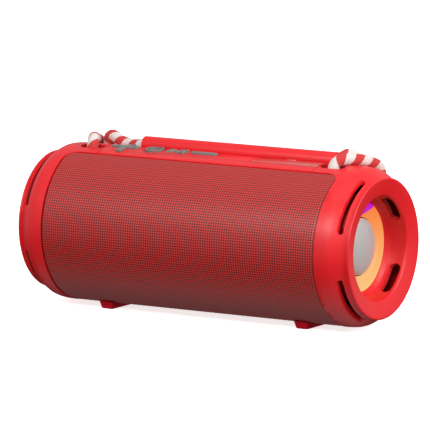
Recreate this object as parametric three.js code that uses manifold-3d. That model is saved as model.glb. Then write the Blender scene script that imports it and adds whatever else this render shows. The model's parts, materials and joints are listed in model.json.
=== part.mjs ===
// A portable party speaker: a fabric-wrapped cylinder with two open light-ring ends,
// a button strip on its crown, and a rope handle that runs through a grip tube.
// Millimetres, +Z up, +X along the cylinder. The outermost group lifts the cylinder's
// axis so that the feet stand on z = 0.

import * as THREE from 'three';
import { mergeVertices } from 'three/addons/utils/BufferGeometryUtils.js';
import Module from 'manifold-3d';

const wasm = await Module();
wasm.setup();

// ---- driving dimensions -------------------------------------------------------------

const GAP = 0.3;               // clearance between touching pieces
const BODY_R = 50;             // outside radius of the cylinder
const AXIS_Z = 52;             // height of the cylinder's axis over the floor
const GRILLE_X = 99.2;         // half-length of the fabric wrap
const CREASE_X = 108.3;        // half-length to the crease where the shoulder tapers
const FACE_X = 120.5;          // half-length over the end rings
const RING_R = 44;             // outside radius of the end rings
const BORE_R = 32.75;          // radius of the open ends
const FLOOR_X = 104.5;         // where the bottom of each open end lies
const LIGHT_R = 28.2;          // outside radius of the light rings
const DOME_R = 17.7;           // radius of the domes inside the light rings
const STRIP_FRONT = 20.2;      // the crown strip, in degrees from the top to the front
const STRIP_REAR = -37.7;      // and to the rear
const STRIP_T = 2.8;           // wall of the crown strip
const PANEL_X = 78.3;          // half-length of the control panel
const CORE_R = 48.4;           // outside radius of the inner tube
const CORE_T = 2.4;            // and its wall
const GRIP_R = 5.35;           // grip tube
const GRIP_Y = 8.5;
const GRIP_Z = 50.95;
const GRIP_LEFT = -60;
const GRIP_RIGHT = 85;
const ROPE_R = 3.45;
const FOOT_X = 71.5;
const DRIVER_X = 42;           // the two drivers stand either side of the middle

// ---- colours and finishes -----------------------------------------------------------

const finish = (color, roughness = 0.5, metalness = 0) =>
  new THREE.MeshStandardMaterial({ color, roughness, metalness });

const FINISH = {
  shell: () => finish(0xe0282f, 0.38),
  fabric: () => finish(0x9c3230, 0.9),
  foot: () => finish(0x8a0c18, 0.7),
  button: () => finish(0x77736f, 0.55),
  flap: () => finish(0xd0605e, 0.3),
  rope: () => finish(0xd9b7b2, 0.95),
  diffuser: () => finish(0xffa04c, 0.5),
  dome: () => finish(0xbcb8b5, 0.45),
  rubber: () => finish(0x1d1d1f, 0.8),
  board: () => finish(0x14532d, 0.5),
  black: () => finish(0x202022, 0.5),
  steel: () => finish(0xa8abb0, 0.35, 1),
  paper: () => finish(0x33312f, 0.9),
  sleeve: () => finish(0x2a5ea8, 0.5),
};

// ---- solids -------------------------------------------------------------------------

const body = new THREE.Group();
body.position.z = AXIS_Z;

/** A three.js geometry as a solid, with its faces pointing out. */
function solid(geometry) {
  const bare = geometry.index ? geometry.toNonIndexed() : geometry.clone();
  bare.deleteAttribute('normal');
  bare.deleteAttribute('uv');
  const merged = mergeVertices(bare, 1e-4);
  const place = merged.attributes.position;
  const kept = [];
  const corner = (i) => new THREE.Vector3().fromBufferAttribute(place, i);
  let volume = 0;
  for (let i = 0; i < merged.index.count; i += 3) {
    const [a, b, c] = [0, 1, 2].map((k) => merged.index.getX(i + k));
    if (a === b || b === c || c === a) continue;
    kept.push([a, b, c]);
    volume += corner(a).dot(corner(b).cross(corner(c)));
  }
  const turned = volume < 0 ? kept.map(([a, b, c]) => [a, c, b]) : kept;
  const vertProperties = Float32Array.from(place.array);
  const triVerts = Uint32Array.from(turned.flat());
  return new wasm.Manifold(new wasm.Mesh({ numProp: 3, vertProperties, triVerts }));
}

/** A solid as a geometry that a mesh can show. */
function shown(manifold) {
  const { vertProperties, triVerts } = manifold.getMesh();
  const geometry = new THREE.BufferGeometry();
  geometry.setAttribute('position', new THREE.BufferAttribute(vertProperties, 3));
  geometry.setIndex(new THREE.BufferAttribute(triVerts, 1));
  const faceted = geometry.toNonIndexed();
  faceted.computeVertexNormals();
  return faceted;
}

/** Adds a named sub-part made of one solid. */
function add(name, manifold, material) {
  const mesh = new THREE.Mesh(shown(manifold), material);
  mesh.name = name;
  body.add(mesh);
}

const cutAll = (start, ...tools) => tools.flat().reduce((whole, tool) => whole.subtract(tool), start);
const joinAll = (start, ...others) => others.flat().reduce((whole, other) => whole.add(other), start);

// Turns a shape's plane (u, v) into (Y, Z) and its depth into X.
const ACROSS = new THREE.Matrix4().makeBasis(
  new THREE.Vector3(0, 1, 0), new THREE.Vector3(0, 0, 1), new THREE.Vector3(1, 0, 0));

/** A shape in the (Y, Z) plane, extruded from x0 to x1. */
function along(shape, x0, x1, curveSegments = 12) {
  const geometry = new THREE.ExtrudeGeometry(shape, { depth: x1 - x0, bevelEnabled: false, curveSegments });
  return solid(geometry.applyMatrix4(ACROSS).translate(x0, 0, 0));
}

/** A shape in the (X, Y) plane, extruded from z0 to z1. */
function upright(shape, z0, z1, curveSegments = 8) {
  const geometry = new THREE.ExtrudeGeometry(shape, { depth: z1 - z0, bevelEnabled: false, curveSegments });
  return solid(geometry.translate(0, 0, z0));
}

/** A profile of [x, r] points, turned about the cylinder's own axis. */
function turned(profile, segments = 48) {
  const points = profile.map(([x, r]) => new THREE.Vector2(r, x));
  return solid(new THREE.LatheGeometry(points, segments).rotateZ(-Math.PI / 2));
}

/** A ring or disc between two radii, turned about the cylinder's axis. */
const ring = (x0, x1, r0, r1, segments) =>
  turned([[x0, r0], [x0, r1], [x1, r1], [x1, r0], [x0, r0]], segments);
const disc = (x0, x1, r, segments) => turned([[x0, 0], [x0, r], [x1, r], [x1, 0]], segments);

function box(x0, x1, y0, y1, z0, z1) {
  const geometry = new THREE.BoxGeometry(x1 - x0, y1 - y0, z1 - z0);
  return solid(geometry.translate((x0 + x1) / 2, (y0 + y1) / 2, (z0 + z1) / 2));
}

/** A point at a radius, at an angle from the top towards the front. */
function polar(r, degrees) {
  const angle = THREE.MathUtils.degToRad(degrees);
  return [-r * Math.sin(angle), r * Math.cos(angle)];
}

/** The wall between two radii from one angle to another, both from the top to the front. */
function wall(r0, r1, from, to, x0, x1) {
  const start = Math.PI / 2 + THREE.MathUtils.degToRad(from);
  const end = Math.PI / 2 + THREE.MathUtils.degToRad(to);
  const shape = new THREE.Shape();
  shape.moveTo(r1 * Math.cos(start), r1 * Math.sin(start));
  shape.absarc(0, 0, r1, start, end, false);
  shape.lineTo(r0 * Math.cos(end), r0 * Math.sin(end));
  shape.absarc(0, 0, r0, end, start, true);
  return along(shape, x0, x1, Math.max(4, Math.ceil((to - from) / 12)));
}

/** A rounded rectangle in the (X, Y) plane. */
function rounded(x0, x1, y0, y1, r) {
  const shape = new THREE.Shape();
  shape.moveTo(x0 + r, y0);
  shape.lineTo(x1 - r, y0).absarc(x1 - r, y0 + r, r, -Math.PI / 2, 0, false);
  shape.lineTo(x1, y1 - r).absarc(x1 - r, y1 - r, r, 0, Math.PI / 2, false);
  shape.lineTo(x0 + r, y1).absarc(x0 + r, y1 - r, r, Math.PI / 2, Math.PI, false);
  shape.lineTo(x0, y0 + r).absarc(x0 + r, y0 + r, r, Math.PI, 1.5 * Math.PI, false);
  return shape;
}

/** A round bar from one point to another. */
function bar(from, to, r, segments = 12) {
  const a = new THREE.Vector3(...from);
  const b = new THREE.Vector3(...to);
  const geometry = new THREE.CylinderGeometry(r, r, a.distanceTo(b), segments);
  const turn = new THREE.Quaternion().setFromUnitVectors(
    new THREE.Vector3(0, 1, 0), b.clone().sub(a).normalize());
  geometry.applyQuaternion(turn).translate(...a.add(b).multiplyScalar(0.5).toArray());
  return solid(geometry);
}

/** A rope along a smooth curve through hand-picked points. */
function rope(points, steps) {
  const curve = new THREE.CatmullRomCurve3(points.map((p) => new THREE.Vector3(...p)), false, 'centripetal');
  const section = new THREE.Shape().absarc(0, 0, ROPE_R, 0, 2 * Math.PI, false);
  const options = { steps, extrudePath: curve, bevelEnabled: false, curveSegments: 5 };
  return solid(new THREE.ExtrudeGeometry(section, options));
}

const mirrored = (points, side) => points.map(([x, y, z]) => [side * x, y, z]);
const SIDES = [['left', -1], ['right', 1]];

/** A profile of [x, r] points for the right end, turned over for the left one. */
const ended = (profile, side) => profile.map(([x, r]) => [side * x, r]);

// ---- the inner tube and the fabric wrap ---------------------------------------------

const OPEN_FRONT = STRIP_FRONT + 0.8;
const OPEN_REAR = 360 + STRIP_REAR - 0.8;
const driverHoles = [-DRIVER_X, DRIVER_X].map((x) => bar([x, -30, 0], [x, -55, 0], 22, 24));
const baffles = [-DRIVER_X, DRIVER_X].map((x) =>
  bar([x, -37.4, 0], [x, -60, 0], 27.5, 24).intersect(disc(-100, 100, CORE_R - 0.8, 36)));
const FOOT_SCREWS = [-1, 1].flatMap((sx) => [-1, 1].map((sy) => [sx * FOOT_X, sy * 9]));
const screwWays = FOOT_SCREWS.map(([x, y]) => bar([x, y, -38], [x, y, -51], 1.7, 10));

const core = cutAll(
  joinAll(wall(CORE_R - CORE_T, CORE_R, OPEN_FRONT, OPEN_REAR, -GRILLE_X, GRILLE_X), baffles),
  driverHoles, screwWays);
add('inner_tube', core, FINISH.black());

const wrap = wall(CORE_R + GAP, BODY_R, STRIP_FRONT + GAP, 360 + STRIP_REAR - GAP, -GRILLE_X, GRILLE_X);
add('grille_wrap', cutAll(wrap, screwWays), FINISH.fabric());

// ---- the crown strip: control panel, buttons, port cover ----------------------------

const FLAP = { x0: 30, x1: 77.5, y0: -9.5, y1: 1.6, t: 1.2 };
const BUTTON_TOP = 51.1;       // height of the raised signs over the axis
const BUTTON_Y = -3.4;
const STEM_FOOT = 43.6;        // where the stems of the buttons end
const strip = (x0, x1) => wall(BODY_R - STRIP_T, BODY_R, STRIP_REAR, STRIP_FRONT, x0, x1);
const groove = (r, x0, x1) => bar([x0, GRIP_Y, GRIP_Z], [x1, GRIP_Y, GRIP_Z], r, 20);
const CROWN_FACETS = 120;      // facets of the cylinder where small pieces follow the crown

/** A plus sign, in the (X, Y) plane. */
function plusSign(x, y, reach, half) {
  const shape = new THREE.Shape();
  const corners = [
    [-reach, -half], [-half, -half], [-half, -reach], [half, -reach], [half, -half], [reach, -half],
    [reach, half], [half, half], [half, reach], [-half, reach], [-half, half], [-reach, half],
  ];
  corners.forEach(([u, v], i) => (i ? shape.lineTo(x + u, y + v) : shape.moveTo(x + u, y + v)));
  return shape;
}

const circle = (x, y, r) => new THREE.Shape().absarc(x, y, r, 0, 2 * Math.PI, false);

const BUTTONS = [
  { name: 'plus', x: -65.5, outline: (grow) => plusSign(-65.5, BUTTON_Y, 9.5 + grow, 1.75 + grow) },
  { name: 'power', x: -43.8, outline: (grow) => circle(-43.8, BUTTON_Y, 6.2 + grow) },
  { name: 'play', x: -26.8, outline: (grow) => rounded(-33.2 - grow, -20.4 + grow, -8.4 - grow, 1.6 + grow, 1.5) },
  { name: 'minus', x: -7.4, outline: (grow) => rounded(-16.6 - grow, 1.8 + grow, -5.2 - grow, -1.6 + grow, 1) },
];

const flapBox = (grow, depth) => box(FLAP.x0 - grow, FLAP.x1 + grow, FLAP.y0 - grow, FLAP.y1 + grow, 40, 55)
  .subtract(disc(FLAP.x0 - 2, FLAP.x1 + 2, BODY_R - depth, CROWN_FACETS));

const PORTS = [
  { name: 'usb_c_socket', x: 38, half: [4.6, 1.8], mouth: [4.2, 1.3] },
  { name: 'aux_socket', x: 52, half: [3.4, 3.2], mouth: [1.75, 1.75] },
  { name: 'card_socket', x: 67, half: [7, 1.4], mouth: [5.6, 0.6] },
];
const PORT_Y = -4;
const portBox = (x, [reach, wide], z0, z1, grow = 0) =>
  box(x - reach - grow, x + reach + grow, PORT_Y - wide - grow, PORT_Y + wide + grow, z0, z1);

const trough = groove(7.8, GRIP_LEFT - 3, PANEL_X)
  .intersect(disc(GRIP_LEFT - 4, PANEL_X + 1, BODY_R - 0.6, 72));
const panel = cutAll(
  joinAll(strip(-PANEL_X, PANEL_X), trough),
  groove(GRIP_R + 0.4, GRIP_LEFT - 1, PANEL_X + 1),
  bar([-76, 13.2, 53.9], [GRIP_LEFT, GRIP_Y, GRIP_Z], ROPE_R + 0.45, 16),
  BUTTONS.map(({ outline }) => upright(outline(GAP), 40, 56)),
  flapBox(GAP, FLAP.t + GAP),
  PORTS.map(({ x, half }) => portBox(x, half, 40, 56, GAP)));
add('control_panel', panel, FINISH.shell());

for (const { name, x, outline } of BUTTONS) {
  const head = upright(outline(0), BODY_R - STRIP_T - 1.2, 56)
    .intersect(disc(x - 20, x + 20, BUTTON_TOP, CROWN_FACETS));
  const foot = bar([x, BUTTON_Y, STEM_FOOT], [x, BUTTON_Y, 47], 1.5, 10);
  add(`button_${name}`, head.add(foot), FINISH.button());
}
const flap = box(FLAP.x0, FLAP.x1, FLAP.y0, FLAP.y1, 40, 55)
  .intersect(disc(FLAP.x0 - 2, FLAP.x1 + 2, BODY_R, CROWN_FACETS))
  .subtract(disc(FLAP.x0 - 2, FLAP.x1 + 2, BODY_R - FLAP.t, CROWN_FACETS));
add('port_flap', flap, FINISH.flap());

// Under the strip: the switches on their board, and the sockets on theirs.
const SWITCH_TOP = STEM_FOOT - 1.4;
for (const { name, x } of BUTTONS) {
  const cap = box(x - 1.6, x + 1.6, BUTTON_Y - 1.6, BUTTON_Y + 1.6, SWITCH_TOP - 1, SWITCH_TOP);
  const can = box(x - 3, x + 3, BUTTON_Y - 3, BUTTON_Y + 3, SWITCH_TOP - 3.6, SWITCH_TOP - 0.9);
  add(`switch_${name}`, can.add(cap), FINISH.black());
}
const BOARD_TOP = SWITCH_TOP - 3.6 - GAP;
add('button_board', box(-74, 8, -11, 8, BOARD_TOP - 1.6, BOARD_TOP), FINISH.board());
for (const { name, x, half, mouth } of PORTS) {
  add(name, portBox(x, half, 38.4, 47.9).subtract(portBox(x, mouth, 42, 56)), FINISH.steel());
}
add('port_board', box(31, 76, -11, 8, 36.5, 38.1), FINISH.board());

// ---- the end caps -------------------------------------------------------------------

const CAP_PROFILE = [
  [GRILLE_X + GAP, 47.4], [GRILLE_X + GAP, BODY_R], [105, 49.75], [CREASE_X, 49.2], [111, 47.7],
  [113.5, 46.4], [116, 44.7], [117.8, 43.2], [118.6, 42.6], [118.8, 43.7], [119.5, RING_R],
  [120.2, RING_R], [FACE_X, 43.3], [119.1, 33.9], [118.4, 33], [117.6, BORE_R], [112, 32.4],
  [107, 31.2], [105, 29.6], [FLOOR_X, 28.6], [102.2, 28.6], [102.2, 33.8], [108, 35.2],
  [116, 35.8], [116.4, 41], [113, 43.6], [CREASE_X, 46.4], [GRILLE_X + GAP, 47.4],
];
const SLOT_ANGLES = [[18, 72], [108, 162], [198, 252], [288, 342]];
const SLOT = { x0: 111.7, x1: 115.2 };
const EYE = { x0: 79.4, x1: 96.4, y0: -10.7, y1: -1.3 };   // the long opening at the front
const HOLE = { x: 91, y: 17, r: 4.1 };                      // the round hole at the rear
const TAIL = { x: 104.6, angle: -34.5 };                    // where the rope's end goes in

function slots(side) {
  const [x0, x1] = side > 0 ? [SLOT.x0, SLOT.x1] : [-SLOT.x1, -SLOT.x0];
  return SLOT_ANGLES.map(([from, to]) => wall(31, 52, from, to, x0, x1));
}

function spigot(side) {
  const [x0, x1] = side > 0 ? [88, 103] : [-103, -88];
  const lip = wall(43.6, 45.6, 45, 295, x0, x1);
  const webs = [60, 120, 180, 240, 280].map((angle) => {
    const [y, z] = polar(40, angle);
    const web = new THREE.BoxGeometry(4, 3, 14).rotateX(THREE.MathUtils.degToRad(angle));
    return solid(web.translate(side * 104.2, y, z));
  });
  return [lip, ...webs];
}

function tailHole(side, r, deep) {
  const [y0, z0] = polar(deep, TAIL.angle);
  const [y1, z1] = polar(54, TAIL.angle);
  return bar([side * TAIL.x, y0, z0], [side * TAIL.x, y1, z1], r, 16);
}

for (const [end, side] of SIDES) {
  const [t0, t1] = side > 0 ? [PANEL_X + GAP, 102] : [-102, -PANEL_X - GAP];
  const eye = side > 0 ? rounded(EYE.x0, EYE.x1, EYE.y0, EYE.y1, 4.1)
    : rounded(-EYE.x1, -EYE.x0, EYE.y0, EYE.y1, 4.1);
  const tongue = cutAll(
    strip(t0, t1),
    upright(eye, 40, 55),
    bar([side * HOLE.x, HOLE.y, 38], [side * HOLE.x, HOLE.y, 56], HOLE.r, 16));
  let cap = cutAll(turned(ended(CAP_PROFILE, side), 36), slots(side));
  cap = cutAll(joinAll(cap, tongue, spigot(side)), tailHole(side, 5.1, 42));
  if (side > 0) {
    const lead = bar([GRIP_RIGHT, GRIP_Y, GRIP_Z], [93, 12.4, 54.4], ROPE_R + 0.7, 16);
    cap = cutAll(cap, groove(GRIP_R + 0.4, PANEL_X, GRIP_RIGHT + 1), lead);
  }
  add(`end_cap_${end}`, cap, FINISH.shell());
}

// ---- inside the open ends -----------------------------------------------------------

for (const [end, side] of SIDES) {
  const lightRing = [
    [102.6, DOME_R + 0.8], [104.2, DOME_R + 0.8], [104.9, 20], [105.1, 23], [104.9, 26.5],
    [104.2, LIGHT_R], [102.6, LIGHT_R], [102.6, DOME_R + 0.8],
  ];
  add(`light_ring_${end}`, turned(ended(lightRing, side), 28), FINISH.diffuser());
  const board = side > 0 ? [100.2, 101.4] : [-101.4, -100.2];
  add(`light_board_${end}`, ring(...board, 19, 28, 24), FINISH.board());
  const radiator = [
    [92.6, 0], [92.6, 12], [94.2, 13.6], [95.2, 13.6], [95.2, 7], [101.6, 7], [101.6, 16.9],
    [103, DOME_R], [104.3, 17.3], [105.6, 13.5], [106.4, 7.5], [106.7, 0],
  ];
  add(`radiator_${end}`, turned(ended(radiator, side), 24), FINISH.dome());
  const surround = [
    [93.8, 14], [95, 14], [96.6, 15.2], [97.1, 17], [96.6, 18.8], [95, 20.2], [93.8, 20.2],
    [94.8, 18.6], [95.6, 17], [94.8, 15.6], [93.8, 14],
  ];
  add(`surround_${end}`, turned(ended(surround, side), 20), FINISH.rubber());
  const frame = [
    [91.6, 20.6], [98, 20.6], [98, 28.6], [101.8, 28.6], [101.8, 31.6], [96, 31.6], [91.6, 24], [91.6, 20.6],
  ];
  add(`radiator_frame_${end}`, turned(ended(frame, side), 24), FINISH.black());
}

// ---- the drivers behind the fabric --------------------------------------------------

for (const [end, side] of SIDES) {
  // These profiles are [distance in front of the axis, radius] and turn about Y.
  const place = (profile, segments) => turned(profile, segments)
    .rotate([0, 0, -90]).translate([side * DRIVER_X, 0, 0]);
  const basket = [
    [37.1, 21.4], [37.1, 26], [35.1, 26], [33.6, 24.6], [21, 17.6], [19.4, 17.6], [19.4, 9.4],
    [21, 9.4], [21, 15.4], [32.6, 22.2], [34.9, 22.4], [35.4, 21.4], [37.1, 21.4],
  ];
  add(`driver_frame_${end}`, place(basket, 18), FINISH.steel());
  const magnet = [[8, 0], [8, 16], [19.1, 16], [19.1, 9.4], [12.5, 9.4], [12.5, 0]];
  add(`driver_magnet_${end}`, place(magnet, 18), FINISH.steel());
  const cone = [
    [26.4, 0], [25.6, 4], [24, 6.6], [16.5, 6.6], [16.5, 7.6], [24.2, 7.6], [33.2, 18.6],
    [34.2, 20.6], [34.9, 20.6], [34, 18.4], [26.2, 8.6], [28.4, 5.6], [29.4, 0],
  ];
  add(`driver_cone_${end}`, place(cone, 18), FINISH.paper());
}

// ---- battery and main board ---------------------------------------------------------

const pack = new THREE.Shape();
pack.moveTo(12, -10).absarc(24, -0.5, 9.5, -Math.PI / 2, Math.PI / 2, false);
pack.lineTo(12, 9).absarc(5, -0.5, 9.5, Math.PI / 2, 1.5 * Math.PI, false);
add('battery_pack', along(pack, -33, 33, 12), FINISH.sleeve());
add('main_board', box(-45, 45, -16, 18, -35.6, -34), FINISH.board());

// ---- the feet -----------------------------------------------------------------------

const FOOT = { half: 4.9, flare: 1.7, reach: 17.5, lean: 1.6, top: -38 };
const screwWay = ([x, y]) => bar([x, y, FOOT.top], [x, y, -AXIS_Z - 1], 1.7, 10);
const screwWell = ([x, y]) => bar([x, y, -AXIS_Z - 0.5], [x, y, -51.15], 3, 12);
for (const [end, side] of SIDES) {
  const height = AXIS_Z + FOOT.top;
  const geometry = new THREE.BoxGeometry(1, 1, height).translate(0, 0, FOOT.top - height / 2);
  const place = geometry.attributes.position;
  for (let i = 0; i < place.count; i += 1) {
    const share = (place.getZ(i) + AXIS_Z) / height;
    place.setX(i, Math.sign(place.getX(i)) * (FOOT.half + share * FOOT.flare) + side * FOOT_X);
    place.setY(i, Math.sign(place.getY(i)) * (FOOT.reach + share * FOOT.lean));
  }
  const mine = FOOT_SCREWS.filter(([x]) => x * side > 0);
  const foot = cutAll(
    solid(geometry),
    disc(-100, 100, BODY_R + GAP, 96),
    mine.map(screwWay),
    mine.map(screwWell));
  add(`foot_${end}`, foot, FINISH.foot());
}
FOOT_SCREWS.forEach(([x, y], i) => {
  const head = bar([x, y, -51.5], [x, y, -51.15], 2.6, 12);
  const shank = bar([x, y, -51.4], [x, y, -44], 1.35, 10);
  add(`foot_screw_${i + 1}`, head.add(shank), FINISH.steel());
});

// ---- the rope handle ----------------------------------------------------------------

// From the knot in the shoulder, over the crown, down through the front opening, and
// under the crown to the rear hole.
const LOOP = [
  [104.6, 23.4, 34.6], [104.7, 25.7, 38.8], [105, 28.4, 43], [104.3, 26.2, 47.2], [102.5, 19.5, 50.6],
  [99.8, 12, 53.2], [96, 5.6, 54.1], [92, 0.2, 54], [89.4, -4, 52.6], [88.4, -6.3, 49.6],
  [88.2, -6.4, 45.6], [88.4, -4.4, 41.6], [89.2, 1, 39.2], [90, 8, 39.2], [90.8, 14.4, 40.8], [91, 16.8, 43.6],
  [91, 17, 45.2],
];
for (const [end, side] of SIDES) {
  const knot = solid(new THREE.SphereGeometry(4.9, 12, 8)
    .translate(side * 104.6, 23.4, 34.2));
  add(`rope_loop_${end}`, rope(mirrored(LOOP, side), 26).add(knot), FINISH.rope());
}

// The two strands that give when the handle is lifted.
const STRAND_LEFT = [
  [-91, 17, 45.6], [-91, 17, 50.2], [-90.2, 16.9, 52.9], [-87.2, 16, 54], [-82, 14.6, 53.7],
  [-75, 12.8, 53.4], [-68, 11.6, 53], [-63.6, 9.7, 52], [GRIP_LEFT - 1.2, GRIP_Y, GRIP_Z],
];
const STRAND_RIGHT = [
  [91, 17, 45.6], [91.1, 17.2, 49.6], [91.2, 16.6, 52.4], [90.6, 14.2, 54.1], [89.4, 11.6, 53.6],
  [87.8, 9.6, 52.3], [86.6, 8.7, 51.3], [GRIP_RIGHT + 0.7, GRIP_Y, GRIP_Z],
];
add('rope_strand_left', rope(STRAND_LEFT, 16), FINISH.rope());
add('rope_strand_right', rope(STRAND_RIGHT, 14), FINISH.rope());
const inside = [GRIP_LEFT + 0.9, GRIP_RIGHT - 0.9];
add('rope_middle', bar([inside[0], GRIP_Y, GRIP_Z], [inside[1], GRIP_Y, GRIP_Z], ROPE_R, 16), FINISH.rope());
const grip = groove(GRIP_R, GRIP_LEFT, GRIP_RIGHT).subtract(
  groove(ROPE_R + GAP, GRIP_LEFT - 1, GRIP_RIGHT + 1));
add('grip_tube', grip, FINISH.shell());

const speaker = new THREE.Group();
speaker.add(body);

export default speaker;
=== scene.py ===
"""Builds the looks of a portable party speaker around its CAD frame.

The cylinder lies along X with its buttons on the crown, its feet stand on z = 0 and its
front faces -Y. Sizes are millimetres where a name or a helper says mm, else metres.
Pieces of the round skin are shaped flat, as (x, arc length, radius), and then rolled
round the cylinder's axis.
"""

import json
import math

import bmesh
import bpy
import numpy as np
from mathutils import Matrix, Vector


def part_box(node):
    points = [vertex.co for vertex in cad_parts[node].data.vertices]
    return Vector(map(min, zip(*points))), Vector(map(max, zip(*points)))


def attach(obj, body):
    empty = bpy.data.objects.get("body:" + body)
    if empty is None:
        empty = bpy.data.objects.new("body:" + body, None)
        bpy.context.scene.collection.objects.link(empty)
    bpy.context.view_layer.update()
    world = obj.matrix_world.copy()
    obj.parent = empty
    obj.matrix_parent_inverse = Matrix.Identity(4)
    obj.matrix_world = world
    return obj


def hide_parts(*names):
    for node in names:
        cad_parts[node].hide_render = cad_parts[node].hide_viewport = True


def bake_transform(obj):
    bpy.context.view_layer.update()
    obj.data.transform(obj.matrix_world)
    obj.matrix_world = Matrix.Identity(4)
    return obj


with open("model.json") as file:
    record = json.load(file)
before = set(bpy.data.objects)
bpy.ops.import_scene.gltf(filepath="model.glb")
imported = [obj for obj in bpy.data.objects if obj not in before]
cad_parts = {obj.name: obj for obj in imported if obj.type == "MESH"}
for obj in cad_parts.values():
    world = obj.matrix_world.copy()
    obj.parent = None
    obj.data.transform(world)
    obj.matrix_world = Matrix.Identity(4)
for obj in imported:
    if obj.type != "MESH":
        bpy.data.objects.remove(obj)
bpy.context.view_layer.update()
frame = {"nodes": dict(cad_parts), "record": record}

bl_info = {
    "name": "Party speaker looks",
    "version": (1, 0, 0),
    "blender": (4, 5, 0),
    "location": "View3D > Sidebar > Speaker",
    "description": "Models and finishes a portable party speaker around its CAD frame",
    "category": "Object",
}

MM = 0.001
SIDES = (("left", -1), ("right", 1))
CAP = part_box("end_cap_right")
RADIUS = round(1000 * (CAP[1][1] - CAP[0][1]) / 2, 3)         # the cylinder's radius, mm
AXIS_Z = round(500 * (CAP[1][2] + CAP[0][2]), 3)              # its axis over the floor, mm
FACET = 3.0                                                   # degrees of arc between edges
STRIP_FRONT = 20.2                                            # the crown strip, in degrees
STRIP_REAR = -37.7                                            # from the top to the front
PANEL_X = 1000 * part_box("control_panel")[1][0]
WRAP_X = 1000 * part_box("grille_wrap")[1][0]
CAP_X = WRAP_X + 0.3
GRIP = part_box("grip_tube")
GRIP_R = 500 * (GRIP[1][1] - GRIP[0][1])
GRIP_Y = 500 * (GRIP[1][1] + GRIP[0][1])
GRIP_Z = 500 * (GRIP[1][2] + GRIP[0][2]) - AXIS_Z
ROPE_R = 3.45


# ---- helpers for shapes ---------------------------------------------------------------

def rgb(text, alpha=1.0):
    """An sRGB hex colour as linear values; a colour that is linear already stays as it is."""
    if not isinstance(text, str):
        return tuple(text)
    parts = [int(text[i:i + 2], 16) / 255 for i in (0, 2, 4)]
    return (*[c / 12.92 if c <= 0.04045 else ((c + 0.055) / 1.055) ** 2.4 for c in parts], alpha)


def clear_selection():
    """Nothing stays selected, so that an operator acts only on its own piece."""
    if bpy.context.object and bpy.context.object.mode != "OBJECT":
        bpy.ops.object.mode_set(mode="OBJECT")
    bpy.ops.object.select_all(action="DESELECT")


def pick(piece, *others):
    """Selects the piece, as the active one, and the others with it."""
    clear_selection()
    for other in others:
        other.select_set(True)
    piece.select_set(True)
    bpy.context.view_layer.objects.active = piece


def edit(piece, select="SELECT"):
    """Enters edit mode on a piece with all of it selected, or none of it."""
    pick(piece)
    bpy.ops.object.mode_set(mode="EDIT")
    bpy.ops.mesh.select_all(action=select)


def done(piece):
    """Leaves edit mode, and puts the piece's place into its mesh."""
    clear_selection()
    pick(piece)
    bpy.ops.object.transform_apply(location=True, rotation=True, scale=True)


def named(name):
    piece = bpy.context.object
    piece.name = name
    piece.data.name = name
    return piece


def modify(piece, kind, **settings):
    """Adds a modifier, sets it and applies it."""
    pick(piece)
    modifier = piece.modifiers.new(kind.lower(), kind)
    for key, value in settings.items():
        setattr(modifier, key, value)
    bpy.ops.object.modifier_apply(modifier=modifier.name)


def soften(piece, width, angle=40.0, segments=2):
    """Rounds the sharp edges, as a mould does."""
    modify(piece, "BEVEL", width=width * MM, segments=segments, limit_method="ANGLE",
           angle_limit=math.radians(angle), use_clamp_overlap=True, harden_normals=False)


def smooth(piece, angle=32.0):
    pick(piece)
    bpy.ops.object.shade_smooth_by_angle(angle=math.radians(angle))


def joined(piece, *others):
    pick(piece, *others)
    bpy.ops.object.join()
    return piece


def boolean(piece, tool, operation="DIFFERENCE"):
    """Cuts or joins a tool piece, which is then removed."""
    modify(piece, "BOOLEAN", object=tool, operation=operation, solver="EXACT")
    bpy.data.objects.remove(tool)
    return piece


def slab(x0, x1, y0, y1, z0, z1, corner=0.0, steps=6):
    """A flat block in mm, its upright edges rounded by corner."""
    bpy.ops.mesh.primitive_cube_add(
        size=MM, location=[MM * (a + b) / 2 for a, b in ((x0, x1), (y0, y1), (z0, z1))],
        scale=(x1 - x0, y1 - y0, z1 - z0))
    piece = named("slab")
    done(piece)
    if corner:
        edit(piece, "DESELECT")
        mesh = bmesh.from_edit_mesh(piece.data)
        bpy.ops.mesh.select_mode(type="EDGE")
        for edge in mesh.edges:
            a, b = edge.verts
            edge.select_set(abs(a.co.z - b.co.z) > 1e-6)
        bmesh.update_edit_mesh(piece.data)
        bpy.ops.mesh.bevel(offset=corner * MM, segments=steps, affect="EDGES")
        bpy.ops.mesh.select_mode(type="VERT")
        bpy.ops.object.mode_set(mode="OBJECT")
    return piece


def post(x, y, r, z0, z1, sides=32, turn=0.0):
    """An upright round or many-sided post in mm."""
    bpy.ops.mesh.primitive_cylinder_add(
        vertices=sides, radius=r * MM, depth=(z1 - z0) * MM,
        location=(x * MM, y * MM, MM * (z0 + z1) / 2), rotation=(0, 0, math.radians(turn)))
    piece = named("post")
    done(piece)
    return piece


def rod(a, b, r, sides=40):
    """A round rod from a to b, both (x, y, z over the axis) in mm."""
    start, end = (Vector((p[0], p[1], p[2] + AXIS_Z)) * MM for p in (a, b))
    turn = (end - start).to_track_quat("Z", "Y").to_euler()
    bpy.ops.mesh.primitive_cylinder_add(
        vertices=sides, radius=r * MM, depth=(end - start).length, location=(start + end) / 2,
        rotation=turn)
    piece = named("rod")
    done(piece)
    return piece


def arc(degrees, radius=RADIUS):
    return math.radians(degrees) * radius


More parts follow.
